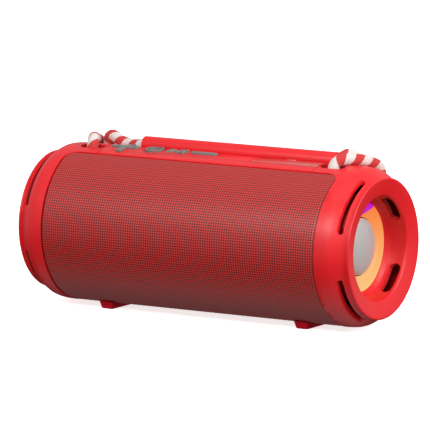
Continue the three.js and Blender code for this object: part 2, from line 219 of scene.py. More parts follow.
def roll(piece, radius=RADIUS, step=FACET):
    """Cuts a flat piece across at even steps of arc and rolls it round the axis."""
    edit(piece)
    low, high = (f(v.co.y for v in piece.data.vertices) / MM for f in (min, max))
    first = math.ceil(math.degrees(low / radius) / step + 1e-6)
    last = math.floor(math.degrees(high / radius) / step - 1e-6)
    for k in range(first, last + 1):
        bpy.ops.mesh.select_all(action="SELECT")
        bpy.ops.mesh.bisect(plane_co=(0, arc(k * step, radius) * MM, 0), plane_no=(0, 1, 0))
    bpy.ops.object.mode_set(mode="OBJECT")
    flat = np.empty(3 * len(piece.data.vertices))
    piece.data.vertices.foreach_get("co", flat)
    flat = flat.reshape(-1, 3)
    angle = flat[:, 1] / (radius * MM)
    round_it = np.stack([flat[:, 0], -flat[:, 2] * np.sin(angle),
                         flat[:, 2] * np.cos(angle) + AXIS_Z * MM], axis=1)
    piece.data.vertices.foreach_set("co", round_it.ravel())
    piece.data.flip_normals()
    piece.data.update()
    return piece


def outward(piece):
    """Merges doubles and turns every face out."""
    edit(piece)
    bpy.ops.mesh.remove_doubles(threshold=1e-6)
    bpy.ops.mesh.normals_make_consistent(inside=False)
    bpy.ops.object.mode_set(mode="OBJECT")
    return piece


def eased(profile, steps=4):
    """A closed profile of (along, out, rounding) corners, with each corner turned to an arc."""
    points = []
    for i, (x, r, round_by) in enumerate(profile):
        here = Vector((x, r))
        before = Vector(profile[i - 1][:2]) - here
        after = Vector(profile[(i + 1) % len(profile)][:2]) - here
        if not round_by:
            points.append(here)
            continue
        reach = min(round_by, 0.49 * before.length, 0.49 * after.length)
        a, b = here + before.normalized() * reach, here + after.normalized() * reach
        for k in range(steps + 1):
            t = k / steps
            points.append((1 - t) ** 2 * a + 2 * t * (1 - t) * here + t * t * b)
    return points


def spun(name, profile, centre=(0, 0, 0), axis=(1, 0, 0), out=(0, 0, 1), steps=120, closed=True):
    """A profile of (along the axis, out from it) points in mm, drawn by extrusion and spun."""
    axis, out = Vector(axis), Vector(out)
    middle = Vector((centre[0], centre[1], centre[2] + AXIS_Z)) * MM
    places = [middle + (axis * p[0] + out * p[1]) * MM for p in profile]
    clear_selection()
    bpy.ops.mesh.primitive_plane_add(size=MM, location=places[0])
    piece = named(name)
    done(piece)
    edit(piece)
    bpy.ops.mesh.merge(type="CENTER")
    for a, b in zip(places, places[1:]):
        bpy.ops.mesh.extrude_region_move(TRANSFORM_OT_translate={"value": b - a})
    if closed:
        mesh = bmesh.from_edit_mesh(piece.data)
        mesh.verts.ensure_lookup_table()
        mesh.verts[0].select_set(True)
        mesh.verts[-1].select_set(True)
        bmesh.update_edit_mesh(piece.data)
        bpy.ops.mesh.edge_face_add()
    bpy.ops.mesh.select_all(action="SELECT")
    bpy.ops.mesh.spin(steps=steps, angle=math.tau, center=middle, axis=axis)
    bpy.ops.object.mode_set(mode="OBJECT")
    return outward(piece)


def placed(piece, body, slot, *nodes, material=None):
    """Hands a finished piece to the frame."""
    if material:
        piece.data.materials.clear()
        piece.data.materials.append(material)
    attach(piece, body)
    if nodes:
        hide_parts(*nodes)
    return piece


# ---- materials ------------------------------------------------------------------------

def node(tree, kind, links=None, **settings):
    """Adds a node; settings name its properties or its inputs, links join its inputs."""
    made = tree.nodes.new(kind)
    for key, value in settings.items():
        if hasattr(made, key):
            setattr(made, key, value)
        else:
            made.inputs[key.replace("_", " ") if key.replace("_", " ") in made.inputs else int(key[1:])
                        ].default_value = value
    for key, source in (links or {}).items():
        tree.links.new(source, made.inputs[key])
    return made


def blank(name, **principled):
    """A material with its Principled shader, its tree and its object coordinates."""
    material = bpy.data.materials.new(name)
    material.use_nodes = True
    tree = material.node_tree
    shader = tree.nodes["Principled BSDF"]
    for key, value in principled.items():
        shader.inputs[key.replace("_", " ")].default_value = value
    place = node(tree, "ShaderNodeTexCoord").outputs["Object"]
    return material, tree, shader, place


def grained(name, dark, light, grain_mm, bump_mm, rough, blotch_mm=18.0, **principled):
    """A moulded surface: two close colours in broad blotches, fine grain, uneven gloss."""
    material, tree, shader, place = blank(name, **principled)
    blotch = node(tree, "ShaderNodeTexNoise", {"Vector": place}, Scale=1 / (blotch_mm * MM), Detail=3.0)
    colour = node(tree, "ShaderNodeMix", {0: blotch.outputs["Fac"]}, data_type="RGBA", _6=rgb(dark), _7=rgb(light))
    grain = node(tree, "ShaderNodeTexNoise", {"Vector": place}, Scale=1 / (grain_mm * MM), Detail=2.0)
    gloss = node(tree, "ShaderNodeMapRange", {"Value": grain.outputs["Fac"]},
                 To_Min=rough - 0.05, To_Max=rough + 0.06)
    bump = node(tree, "ShaderNodeBump", {"Height": grain.outputs["Fac"]}, Strength=0.5, Distance=bump_mm * MM)
    tree.links.new(colour.outputs[2], shader.inputs["Base Color"])
    tree.links.new(gloss.outputs[0], shader.inputs["Roughness"])
    tree.links.new(bump.outputs[0], shader.inputs["Normal"])
    return material


def mesh_cloth(look):
    """Polyester speaker cloth, woven square: bright threads, dark gaps, a dry sheen."""
    material, tree, shader, place = blank("woven_speaker_cloth", Roughness=0.4, IOR=1.5)
    weave = node(tree, "ShaderNodeUVMap", uv_map="weave").outputs[0]
    turns = node(tree, "ShaderNodeVectorMath", {0: weave}, operation="SCALE", Scale=math.tau)
    split = node(tree, "ShaderNodeSeparateXYZ", {0: turns.outputs[0]})
    across, along = (node(tree, "ShaderNodeMath", {0: split.outputs[i]}, operation="COSINE") for i in (0, 1))
    total = node(tree, "ShaderNodeMath", {0: across.outputs[0], 1: along.outputs[0]}, operation="ADD")
    fuzz = node(tree, "ShaderNodeTexNoise", {"Vector": place}, Scale=1 / (0.5 * MM), Detail=3.0)
    mixed = node(tree, "ShaderNodeMath", {0: fuzz.outputs["Fac"], 2: total.outputs[0]},
                 operation="MULTIPLY_ADD", _1=0.8)
    share = node(tree, "ShaderNodeMapRange", {"Value": mixed.outputs[0]}, From_Min=-1.0, From_Max=1.3)
    # The gap colour is the dark backing seen through the weave together with painted shade between the threads.
    colour = node(tree, "ShaderNodeMix", {0: share.outputs[0]}, data_type="RGBA",
                  _6=look.gap_backing_and_shade, _7=look.thread_colour)
    bump = node(tree, "ShaderNodeBump", {"Height": fuzz.outputs["Fac"]}, Strength=0.4, Distance=0.1 * MM)
    tree.links.new(colour.outputs[2], shader.inputs["Base Color"])
    tree.links.new(bump.outputs[0], shader.inputs["Normal"])
    return material


def braid(look):
    """Soft polyester braid: red and white yarns that wind round as one broad spiral."""
    material, tree, shader, place = blank("braided_polyester_rope", Roughness=0.85, Sheen_Weight=0.08,
                                          Sheen_Roughness=0.5)
    lay = node(tree, "ShaderNodeSeparateXYZ", {0: node(tree, "ShaderNodeUVMap", uv_map="lay").outputs[0]})
    turn = node(tree, "ShaderNodeMath", {0: lay.outputs[0], 1: lay.outputs[1]}, operation="ADD")
    edge = node(tree, "ShaderNodeTexNoise", {"Vector": place}, Scale=1 / (0.8 * MM), Detail=2.0)
    ragged = node(tree, "ShaderNodeMath", {0: edge.outputs["Fac"], 2: turn.outputs[0]},
                  operation="MULTIPLY_ADD", _1=0.06)
    phase = node(tree, "ShaderNodeMath", {0: ragged.outputs[0]}, operation="FRACT")
    band = node(tree, "ShaderNodeMapRange", {
        "Value": node(tree, "ShaderNodeMath", {
            0: node(tree, "ShaderNodeMath", {0: phase.outputs[0]}, operation="SUBTRACT", _1=0.5).outputs[0]},
            operation="ABSOLUTE").outputs[0]}, From_Min=0.235, From_Max=0.265)
    colour = node(tree, "ShaderNodeMix", {0: band.outputs[0]}, data_type="RGBA",
                  _6=look.rope_red, _7=look.rope_white)
    fuzz = node(tree, "ShaderNodeTexNoise", {"Vector": place}, Scale=1 / (0.35 * MM), Detail=3.0)
    shade = node(tree, "ShaderNodeMapRange", {"Value": fuzz.outputs["Fac"]}, To_Min=0.82, To_Max=1.08)
    worn = node(tree, "ShaderNodeMix", {6: colour.outputs[2], 7: shade.outputs[0]}, data_type="RGBA",
                blend_type="MULTIPLY", _0=1.0)
    bump = node(tree, "ShaderNodeBump", {"Height": fuzz.outputs["Fac"]}, Strength=0.6, Distance=0.15 * MM)
    tree.links.new(worn.outputs[2], shader.inputs["Base Color"])
    tree.links.new(bump.outputs[0], shader.inputs["Normal"])
    return material


def lit_diffuser(look):
    """Frosted acrylic over LEDs: orange that pales downwards, magenta at the very top."""
    material, tree, shader, place = blank("lit_frosted_acrylic", Roughness=0.55, Base_Color=rgb("1c0f08"),
                                          Emission_Strength=look.light_power)
    split = node(tree, "ShaderNodeSeparateXYZ", {0: place})
    down = node(tree, "ShaderNodeMapRange", {"Value": split.outputs[2]},
                From_Min=(AXIS_Z + 24) * MM, From_Max=(AXIS_Z - 26) * MM)
    glow = node(tree, "ShaderNodeMix", {0: down.outputs[0]}, data_type="RGBA",
                _6=rgb("ff7f33"), _7=rgb("fec87e"))
    tilt = node(tree, "ShaderNodeMath", {0: split.outputs[1], 2: split.outputs[2]},
                operation="MULTIPLY_ADD", _1=-0.213)
    top = node(tree, "ShaderNodeMapRange", {"Value": tilt.outputs[0]},
               From_Min=(AXIS_Z + 19.9) * MM, From_Max=(AXIS_Z + 20.4) * MM)
    both = node(tree, "ShaderNodeMix", {0: top.outputs[0], 6: glow.outputs[2]}, data_type="RGBA",
                _7=rgb("c400cc"))
    frost = node(tree, "ShaderNodeTexNoise", {"Vector": place}, Scale=1 / (0.7 * MM), Detail=2.0)
    bump = node(tree, "ShaderNodeBump", {"Height": frost.outputs["Fac"]}, Strength=0.3, Distance=0.1 * MM)
    tree.links.new(both.outputs[2], shader.inputs["Emission Color"])
    tree.links.new(bump.outputs[0], shader.inputs["Normal"])
    return material


FINISHES = {}


def finishes():
    """Makes every material once and keeps them by the record's slot."""
    if FINISHES:
        return FINISHES
    look = bpy.context.scene.speaker_finish
    FINISHES.update({
        # Satin ABS with a fine spark-eroded grain: soft, wide highlights.
        "shell": grained("moulded_red_abs", look.shell_dark, look.shell_light, 0.35, 0.02, 0.36, IOR=1.46),
        "fabric_wrap": mesh_cloth(look),
        # Thermoplastic rubber, nearly without gloss. Its red is painted darker than the shell's, as painted shade for
        # the shade under the body.
        "foot_rubber": grained("moulded_red_rubber_painted_shade", "b80519", "cc081f", 0.5, 0.05, 0.6, IOR=1.25),
        # Silicone keys: matt, slightly dusty.
        "button_rubber": grained("grey_silicone_rubber", "696562", "7d7975", 0.3, 0.03, 0.5, IOR=1.42),
        # Soft cover with a polished face, so it mirrors the light above it. Its red is also painted greyer and pinker
        # than the shell's: painted reflection of that light.
        "port_cover": grained("polished_red_cover_painted_reflection", "b93a3a", "c44543", 0.8, 0.01, 0.22, Coat_Weight=1.0,
                              Coat_Roughness=0.1, IOR=1.5),
        "rope": braid(look),
        "light_diffuser": lit_diffuser(look),
        # Pale grey lacquer with a fine metal flake.
        "dome": grained("silver_lacquer", "b4b1ae", "c9c7c5", 0.12, 0.01, 0.34, Metallic=0.25, IOR=1.5),
        "surround_rubber": grained("black_butyl_rubber", "111113", "1d1d20", 0.4, 0.05, 0.66, IOR=1.52),
        "circuit_board": grained("green_solder_mask", "0d4a26", "176636", 1.4, 0.03, 0.35, blotch_mm=4.0, IOR=1.5),
        "black_plastic": grained("black_abs", "151517", "232326", 0.35, 0.03, 0.5, IOR=1.46),
        "steel": grained("zinc_plated_steel", "9a9da3", "b9bcc0", 0.25, 0.01, 0.32, Metallic=1.0),
        "cone_paper": grained("pressed_paper", "201d1b", "35302c", 0.6, 0.08, 0.85, IOR=1.4),
        "battery_sleeve": grained("blue_shrink_sleeve", "16438c", "2459ad", 2.5, 0.05, 0.3, IOR=1.5),
    })
    return FINISHES


# ---- sizes and colours a user would change --------------------------------------------

def colour_prop(name, description, value):
    return bpy.props.FloatVectorProperty(
        name=name, description=description, subtype="COLOR", size=4, min=0, max=1, default=rgb(value))


def length_prop(name, description, millimetres):
    return bpy.props.FloatProperty(
        name=name, description=description, unit="LENGTH", default=millimetres * MM, min=0)


class SpeakerFinish(bpy.types.PropertyGroup):
    """Colours of the speaker."""

    shell_dark: colour_prop("Shell, deep", "Deeper red of the plastic", "d4161d")
    shell_light: colour_prop("Shell, light", "Lighter red of the plastic", "dd1f26")
    thread_colour: colour_prop("Cloth threads", "Colour of the woven threads", "c9332f")
    # The gaps' colour stands for the dark backing behind the cloth and for painted shade between the threads.
    gap_backing_and_shade: colour_prop("Cloth gaps", "Colour seen between the threads", "3c0d0d")
    rope_red: colour_prop("Rope, red", "Red yarn of the rope", "bd2a2a")
    rope_white: colour_prop("Rope, white", "White yarn of the rope", "d2c9c4")
    light_power: bpy.props.FloatProperty(
        name="Light", description="Strength of the light rings", default=0.93, min=0, max=10)


class SpeakerSizes(bpy.types.PropertyGroup):
    """Sizes that the pieces take from the CAD frame or add to it."""

    weave_pitch: length_prop("Weave pitch", "Distance between the cloth's threads", 1.667)
    weave_depth: length_prop("Weave depth", "How deep the cloth's gaps lie", 0.4)
    rope_pitch: length_prop("Rope spiral", "Length of one red and white turn", 12.6)
    corner: length_prop("Cloth corner", "Rounding of the cloth's upper corners", 9.0)
    seam: length_prop("Seam", "Gap between neighbouring pieces", 0.3)


# ---- the end caps ---------------------------------------------------------------------

# Corners of the cap's section: along the axis, radius, rounding.
CAP_SECTION = [
    (CAP_X, 47.2, 0), (CAP_X, 50, 0), (105, 49.75, 2), (108.6, 49.15, 1.6), (112, 47.2, 2), (116.2, 44.4, 2),
    (118.3, 42.9, 0.5), (118.7, 42.9, 0.3), (118.9, 43.9, 0.4), (120.15, 44.1, 0.6), (120.45, 43.2, 0.6),
    (118, 33.1, 0.9), (116.9, 32.5, 0.8), (112, 32.4, 1), (107, 31.2, 1), (104.5, 28.6, 0.3), (102.3, 28.6, 0),
    (102.3, 34, 1), (108, 35.2, 1), (115.8, 36, 1), (116.2, 40.6, 1), (112.6, 43.4, 1), (107.5, 46, 1),
]
SLOT_ARCS = ((18, 72), (108, 162), (198, 252), (288, 342))
SLOT_RADIUS = 45.0
BORE = 33.0                               # about where the slots open into the end's bore
MOUTH_ARC = 40.0                          # degrees that each slot opens there
TAIL_X = 102.3                            # where the rope's end goes into the shoulder
LEAD_R = 3.85                             # of the groove that leads the rope to the tube
EYE_BACK, EYE_FRONT = 1.3, 10.8           # the rope's front opening, along the arc


def cap_piece(end, side):
    """One end cap: a spun section with slots, and the tongue with its rope openings."""
    cap = spun(f"cap_{end}", [(side * p.x, p.y) for p in eased(CAP_SECTION)])
    cutters = []
    for low, high in SLOT_ARCS:
        x0, x1 = sorted((side * 112.4, side * 115.9))
        flat = slab(x0, x1, arc(low, SLOT_RADIUS), arc(high, SLOT_RADIUS), 38, 53, corner=1.7)
        cutters.append(roll(flat, SLOT_RADIUS, step=2.0))
    boolean(cap, joined(*cutters))
    soften(cap, 0.7, angle=50, segments=3)
    mouths = []
    for low, high in SLOT_ARCS:
        x0, x1 = sorted((side * 108.9, side * 116))
        middle, half = (low + high) / 2, MOUTH_ARC / 2
        flat = slab(x0, x1, arc(middle - half, BORE), arc(middle + half, BORE), 30, 36.8, corner=3.4)
        mouths.append(roll(flat, BORE, step=2.0))
    boolean(cap, joined(*mouths))
    x0, x1 = sorted((side * (PANEL_X + 0.55), side * CAP_X))
    tongue = slab(x0, x1, arc(STRIP_REAR), arc(STRIP_FRONT), 47.2, RADIUS)
    corner = bpy.context.scene.speaker_sizes.corner / MM
    for edge, way in ((arc(STRIP_FRONT), 1), (arc(STRIP_REAR), -1)):
        x0, x1 = sorted((side * (CAP_X - corner), side * CAP_X))
        y0, y1 = sorted((edge - way * 2, edge + way * corner))
        web = slab(x0, x1, y0, y1, 47.2, RADIUS)
        boolean(web, post(side * (CAP_X - corner), edge + way * corner, corner, 40, 60, 64))
        boolean(tongue, web, "UNION")
    eye = sorted((side * 79.4, side * 96.4))
    boolean(tongue, slab(*eye, EYE_BACK, EYE_FRONT, 40, 60, corner=4.1))
    boolean(tongue, post(side * 91, arc(-19.9), 4.1, 40, 60))
    soften(tongue, 0.3, segments=2)
    outward(roll(tongue))
    if side > 0:
        boolean(tongue, rod((PANEL_X, GRIP_Y, GRIP_Z), (86.4, GRIP_Y, GRIP_Z), GRIP_R + 0.4, 48))
    angle = math.radians(-34.5)
    inner, outer = ((side * TAIL_X, -r * math.sin(angle), r * math.cos(angle)) for r in (42, 54))
    for part in (cap, tongue):
        boolean(part, rod(inner, outer, 4.4))
    joined(cap, tongue)
    cap.name = f"cap_{end}"
    smooth(outward(cap))
    placed(cap, "shell", "shell", f"end_cap_{end}", material=finishes()["shell"])


# ---- the crown panel, its buttons and its cover ---------------------------------------

COVER = (30, 77.5, -1.6, 9.56)            # x0, x1 and arc from the rear to the front


def sign(name, low, high, grow=0.0):
    """The outline of one button's raised sign, as a flat block between two radii."""
    g = grow
    if name == "plus":
        bars = [slab(-75 - g, -56 + g, 1.65 - g, 5.15 + g, low, high, corner=0.7 + g, steps=3),
                slab(-67.25 - g, -63.75 + g, -6.1 - g, 12.9 + g, low, high, corner=0.7 + g, steps=3)]
        return [boolean(*bars, "UNION")]
    if name == "power":
        return [post(-43.8, 3.4, 6.2 + g, low, high, 48)]
    if name == "play":
        wedge = post(-30.6, 3.4, 4.9 + g, low, high, 3, 30)
        bars = [slab(x - 0.95 - g, x + 0.95 + g, -0.7 - g, 7.5 + g, low, high, corner=0.4 + g, steps=2)
                for x in (-24.7, -21.4)]
        return [wedge, *bars]
    return [slab(-16.6 - g, 1.8 + g, 1.6 - g, 5.2 + g, low, high, corner=0.8 + g, steps=3)]


def panel_piece():
    """The crown panel: openings for signs and cover, and a groove for the grip tube."""
    panel = slab(-PANEL_X, PANEL_X, arc(STRIP_REAR), arc(STRIP_FRONT), 47.2, RADIUS)
    seam = bpy.context.scene.speaker_sizes.seam / MM
    for name in ("plus", "power", "play", "minus"):
        for cutter in sign(name, 40, 60, seam):
            boolean(panel, cutter)
    x0, x1, y0, y1 = COVER
    boolean(panel, slab(x0 - seam, x1 + seam, y0 - seam, y1 + 2 * seam, 48.2, 60, corner=1.2, steps=3))
    soften(panel, 0.22)
    roll(panel)
    trough = rod((-63, GRIP_Y, GRIP_Z), (PANEL_X, GRIP_Y, GRIP_Z), 7.6, 64)
    lid = slab(-90, 90, -20, 40, AXIS_Z + 48.2, AXIS_Z + 70)
    boolean(trough, lid)
    boolean(panel, trough, "UNION")
    boolean(panel, rod((-61, GRIP_Y, GRIP_Z), (PANEL_X + 1, GRIP_Y, GRIP_Z), GRIP_R + 0.4, 64))
    boolean(panel, rod((-82, 14.4, 51.9), (-70.5, 11.1, 49.75), LEAD_R, 48))
    boolean(panel, rod((-73.5, 11.9, 49.8), (-60, GRIP_Y, GRIP_Z - 0.4), LEAD_R, 48))
    panel.name = "crown_panel"
    smooth(outward(panel))
    placed(panel, "shell", "shell", "control_panel", material=finishes()["shell"])


def button_piece(name):
    """One button: a raised sign with soft edges on a stem that reaches its switch."""
    top = 51.1
    if name == "power":
        head = slab(-50.5, -37.1, -3.3, 10.1, top - 0.9, top)
        boolean(head, post(-43.8, 3.4, 6.2, 40, 60, 64), "INTERSECT")
        boolean(head, post(-43.8, 3.4, 4.7, 40, 60, 64))
        boolean(head, slab(-45.4, -42.2, 4, 12, 40, 60))
        head = joined(head, slab(-44.5, -43.1, 3.4, 9.4, top - 0.9, top, corner=0.4, steps=2))
        base = post(-43.8, 3.4, 6.2, 46.2, top - 0.85, 64)
        parts = [base, head]
    else:
        parts = sign(name, 46.2, top)
    for part in parts:
        soften(part, 0.3, segments=3)
    low, high = (f(v.co.x for p in parts for v in p.data.vertices) / MM for f in (min, max))
    plate = slab(low, high, 0.2, 6.6, 45.6, 46.3, corner=0.5, steps=2)
    button = roll(joined(plate, *parts))
    node_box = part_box(f"button_{name}")
    x = 500 * (node_box[0][0] + node_box[1][0])
    stem = rod((x, -3.4, 43.6), (x, -3.4, 45.7), 1.5, 24)
    button = joined(button, stem)
    button.name = f"key_{name}"
    smooth(outward(button))
    placed(button, f"button_{name}", "button_rubber", f"button_{name}", material=finishes()["button_rubber"])


def cover_piece():
    """The soft cover over the sockets, with a lip at its rear for a fingernail."""
    x0, x1, y0, y1 = COVER
    cover = slab(x0, x1, y0, y1, RADIUS - 1.2, RADIUS + 0.05, corner=0.9, steps=3)
    soften(cover, 0.25, segments=3)
    lip = slab(50.5, 57, y0, y0 + 1.6, RADIUS - 0.4, RADIUS + 0.5, corner=0.6, steps=2)
    soften(lip, 0.3, segments=3)
    cover = roll(joined(cover, lip))
    cover.name = "socket_cover"
    smooth(outward(cover))
    placed(cover, "port_flap", "port_cover", "port_flap", material=finishes()["port_cover"])


# ---- the cloth ------------------------------------------------------------------------

def cloth_piece():
    """The woven cloth: one grid cell per half thread, gaps pressed in, edges tucked under."""
    sizes = bpy.context.scene.speaker_sizes
    pitch = sizes.weave_pitch / MM
    start, end = arc(STRIP_FRONT) + 0.1, arc(360 + STRIP_REAR) - 0.1
    across = 2 * round(2 * WRAP_X / pitch)
    around = 2 * round((end - start) / pitch)
    clear_selection()
    bpy.ops.mesh.primitive_grid_add(x_subdivisions=across, y_subdivisions=around, size=1)
    cloth = named("cloth_wrap")
    grid = np.empty(3 * len(cloth.data.vertices))
    cloth.data.vertices.foreach_get("co", grid)
    grid = grid.reshape(-1, 3)
    column = np.rint((grid[:, 0] + 0.5) * across).astype(int)
    row = np.rint((grid[:, 1] + 0.5) * around).astype(int)
    x = (column / across * 2 - 1) * WRAP_X
    s = start + row / around * (end - start)
    odd_column, odd_row = column % 2, row % 2
    crossing = ((column // 2 + row // 2) % 2) * 0.12
    sunk = np.where(odd_column & odd_row, sizes.weave_depth / MM,
                    np.where(odd_column | odd_row, 0.1, crossing))
    rim = (column == 0) | (column == across) | (row == 0) | (row == around)
    radius = RADIUS - 0.15 - np.where(rim, 1.2, sunk)
    turn = s / RADIUS
    places = np.stack([x, -radius * np.sin(turn), radius * np.cos(turn) + AXIS_Z], axis=1) * MM
    cloth.data.vertices.foreach_set("co", places.ravel())
    weave = cloth.data.uv_layers.new(name="weave")
    corners = np.empty(len(cloth.data.loops), dtype=np.int32)
    cloth.data.loops.foreach_get("vertex_index", corners)
    weave.data.foreach_set("uv", np.stack([column / 2, row / 2], axis=1)[corners].astype(np.float32).ravel())
    corner = sizes.corner / MM - 1.0
    hidden = np.zeros(len(x), bool)
    for edge, way in ((start, 1), (end, -1)):
        dx = np.abs(x) - (CAP_X - corner - 1.0)
        ds = corner + 1.0 - way * (s - edge)
        hidden |= (dx > 0) & (ds > 0) & (np.hypot(dx, ds) > corner + 2.2)
    edit(cloth, "DESELECT")
    mesh = bmesh.from_edit_mesh(cloth.data)
    mesh.verts.ensure_lookup_table()
    for i in np.flatnonzero(hidden):
        mesh.verts[int(i)].select_set(True)
    bmesh.update_edit_mesh(cloth.data)
    bpy.ops.mesh.delete(type="VERT")
    bpy.ops.mesh.select_all(action="SELECT")
    bpy.ops.mesh.normals_make_consistent(inside=False)
    bpy.ops.object.mode_set(mode="OBJECT")
    middle = cloth.data.polygons[len(cloth.data.polygons) // 2]
    if middle.normal.dot(middle.center - Vector((middle.center.x, 0, AXIS_Z * MM))) < 0:
        cloth.data.flip_normals()
    pick(cloth)
    bpy.ops.object.shade_smooth()
    placed(cloth, "shell", "fabric_wrap", "grille_wrap", material=finishes()["fabric_wrap"])


# ---- the open ends --------------------------------------------------------------------

def end_pieces(end, side):
    """The light ring with its dished face, and the dome with its rim."""
    ring = eased([(102.6, 18.4, 0), (102.6, 28.2, 0), (104.3, 28.2, 0.5), (105, 26.4, 1), (105.2, 23, 2),
                  (105, 19.9, 1), (104.3, 18.4, 0.5)])
    light = spun(f"diffuser_{end}", [(side * p.x, p.y) for p in ring])
    smooth(light)
    placed(light, "shell", "light_diffuser", f"light_ring_{end}", material=finishes()["light_diffuser"])
    section = [(92.6, 0), (92.6, 12), (94.2, 13.6), (95.2, 13.6), (95.2, 7), (101.6, 7), (101.6, 16.9),
               (102.3, 17.6), (103.2, 17.75), (103.7, 17.5), (103.9, 16.9)]
    crown = [(103.9 + 2.8 * math.cos(t) - 0.0, 16.9 * math.sin(t)) for t in
             (math.radians(90 - 7.5 * k) for k in range(1, 12))]
    dome = spun(f"dome_{end}", [(side * x, r) for x, r in (*section, *crown, (106.7, 0))], closed=False)
    smooth(dome)
    placed(dome, f"radiator_{end}", "dome", f"radiator_{end}", material=finishes()["dome"])


# ---- the feet -------------------------------------------------------------------------

def foot_piece(end, side):
    """One bar foot: a tapered block with soft edges, hollowed to the cylinder."""
    lo, hi = (Vector(p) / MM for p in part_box(f"foot_{end}"))
    foot = slab(lo.x, hi.x, lo.y, hi.y, 0, hi.z, corner=1.6, steps=4)
    edit(foot, "DESELECT")
    bpy.ops.mesh.select_mode(type="VERT")
    mesh = bmesh.from_edit_mesh(foot.data)
    for vert in mesh.verts:
        vert.select_set(vert.co.z < 1e-4)
    mesh.select_flush(True)
    bmesh.update_edit_mesh(foot.data)
    middle = Vector((lo.x + hi.x, lo.y + hi.y, 0)) * MM / 2
    bpy.ops.transform.resize(value=(0.76, 0.92, 1), center_override=middle)
    bpy.ops.object.mode_set(mode="OBJECT")
    soften(foot, 0.8, angle=60, segments=4)
    boolean(foot, rod((-110, 0, 0), (110, 0, 0), RADIUS + 0.1, 180))
    for y in (-9, 9):
        boolean(foot, rod((side * 71.5, y, -56), (side * 71.5, y, -51.15), 3, 32))
        boolean(foot, rod((side * 71.5, y, -56), (side * 71.5, y, -30), 1.7, 20))
    foot.name = f"bar_foot_{end}"
    smooth(outward(foot))
    placed(foot, "shell", "foot_rubber", f"foot_{end}", material=finishes()["foot_rubber"])


# ---- the handle -----------------------------------------------------------------------

# The rope's course at the right end, in mm over the axis: from the knot in the shoulder
# over the crown, down through the front opening and under the crown to the rear hole.
LOOP = [
    (102.3, 22.8, 34.4), (102.4, 25, 39.4), (102.3, 26.6, 43.9), (101.7, 24.7, 47.2), (100.4, 19.4, 49.7),
    (98.2, 12.6, 51.9), (95.2, 6.2, 53), (92, 0.6, 53.4), (89.6, -3.7, 52.4), (88.4, -6.2, 49.4), (88.2, -6.4, 45.6),
    (88.4, -4.4, 41.6), (89.2, 1, 39.2), (90, 8, 39.2), (90.8, 14.4, 40.8), (91, 16.8, 43.6), (91, 17, 45.2),
]
STRAND_LEFT = [
    (-91, 17, 45.6), (-91, 17, 50), (-90.3, 16.9, 52.6), (-87.4, 16.1, 53.8), (-83, 14.7, 52.2), (-77.5, 13.1, 50.6),
    (-72, 11.5, 49.9), (-66.5, 9.9, 49.8), (-62.5, 8.9, 50.4), (-60, 8.5, 50.95),
]
STRAND_RIGHT = [
    (91, 17, 45.6), (91.1, 17.2, 49.6), (90.4, 16.9, 52.8), (88.6, 15.4, 54.3), (86.8, 13.1, 54.5),
    (85.4, 10.9, 53.6), (84.3, 9.2, 52.1), (83.1, 8.5, 50.95),
]


def course(points, gap=0.45):
    """Even points along a smooth curve through hand-picked ones, in metres."""
    knots = [Vector((x, y, z + AXIS_Z)) * MM for x, y, z in points]
    knots = [2 * knots[0] - knots[1], *knots, 2 * knots[-1] - knots[-2]]
    fine = []
    for a, b, c, d in zip(knots, knots[1:], knots[2:], knots[3:]):
        for k in range(24):
            t = k / 24
            fine.append(0.5 * (2 * b + (c - a) * t + (2 * a - 5 * b + 4 * c - d) * t * t
                               + (3 * b - a - 3 * c + d) * t ** 3))
    fine.append(knots[-2])
    line = np.array(fine)
    run = np.concatenate([[0], np.cumsum(np.linalg.norm(np.diff(line, axis=0), axis=1))])
    even = np.linspace(0, run[-1], max(8, round(run[-1] / (gap * MM))))
    return np.stack([np.interp(even, run, line[:, k]) for k in range(3)], axis=1), run[-1]


def rope_piece(name, points, radius=3.72, sides=40, phase=0.0, turn=1):
    """A braided rope along a course: crossing yarns in relief, and a UV that follows the lay."""
    line, length = course(points)
    count = len(line)
    tangent = np.gradient(line, axis=0)
    tangent /= np.linalg.norm(tangent, axis=1)[:, None]
    normal = np.cross(tangent[0], [0.3, 0.2, 1.0])
    frames = []
    for t in tangent:
        normal = normal - t * np.dot(normal, t)
        normal /= np.linalg.norm(normal)
        frames.append((normal, np.cross(t, normal)))
    step = length / (count - 1) / MM
    verts, uvs = [], []
    pitch = bpy.context.scene.speaker_sizes.rope_pitch / MM
    for i, (u, v) in enumerate(frames):
        for j in range(sides):
            angle = math.tau * j / sides
            yarn = 9.0 * i * step / 15.0
            lift = abs(math.sin(4 * angle + math.pi * yarn / 2)) + abs(math.sin(4 * angle - math.pi * yarn / 2))
            r = (radius - 0.30 + 0.17 * lift) * MM
            ends = min(i, count - 1 - i)
            r *= 1 - 0.12 * max(0, 2 - ends)
            verts.append(line[i] + r * (math.cos(angle) * u + math.sin(angle) * v))
    faces = [[i * sides + j, i * sides + (j + 1) % sides, (i + 1) * sides + (j + 1) % sides, (i + 1) * sides + j]
             for i in range(count - 1) for j in range(sides)]
    faces += [list(range(sides))[::-1], [(count - 1) * sides + j for j in range(sides)]]
    mesh = bpy.data.meshes.new(name)
    mesh.from_pydata([tuple(p) for p in verts], [], faces)
    piece = bpy.data.objects.new(name, mesh)
    bpy.context.scene.collection.objects.link(piece)
    lay = mesh.uv_layers.new(name="lay")
    for face in mesh.polygons:
        ring_of = [v // sides for v in face.vertices]
        side_of = [v % sides for v in face.vertices]
        wraps = max(side_of) - min(side_of) > sides / 2
        for loop, i, j in zip(face.loop_indices, ring_of, side_of):
            j = sides if wraps and j == 0 else j
            lay.data[loop].uv = (phase + i * step / pitch, turn * j / sides)
    outward(piece)
    pick(piece)
    bpy.ops.object.shade_smooth()
    piece.data.materials.append(finishes()["rope"])
    return piece, line, length


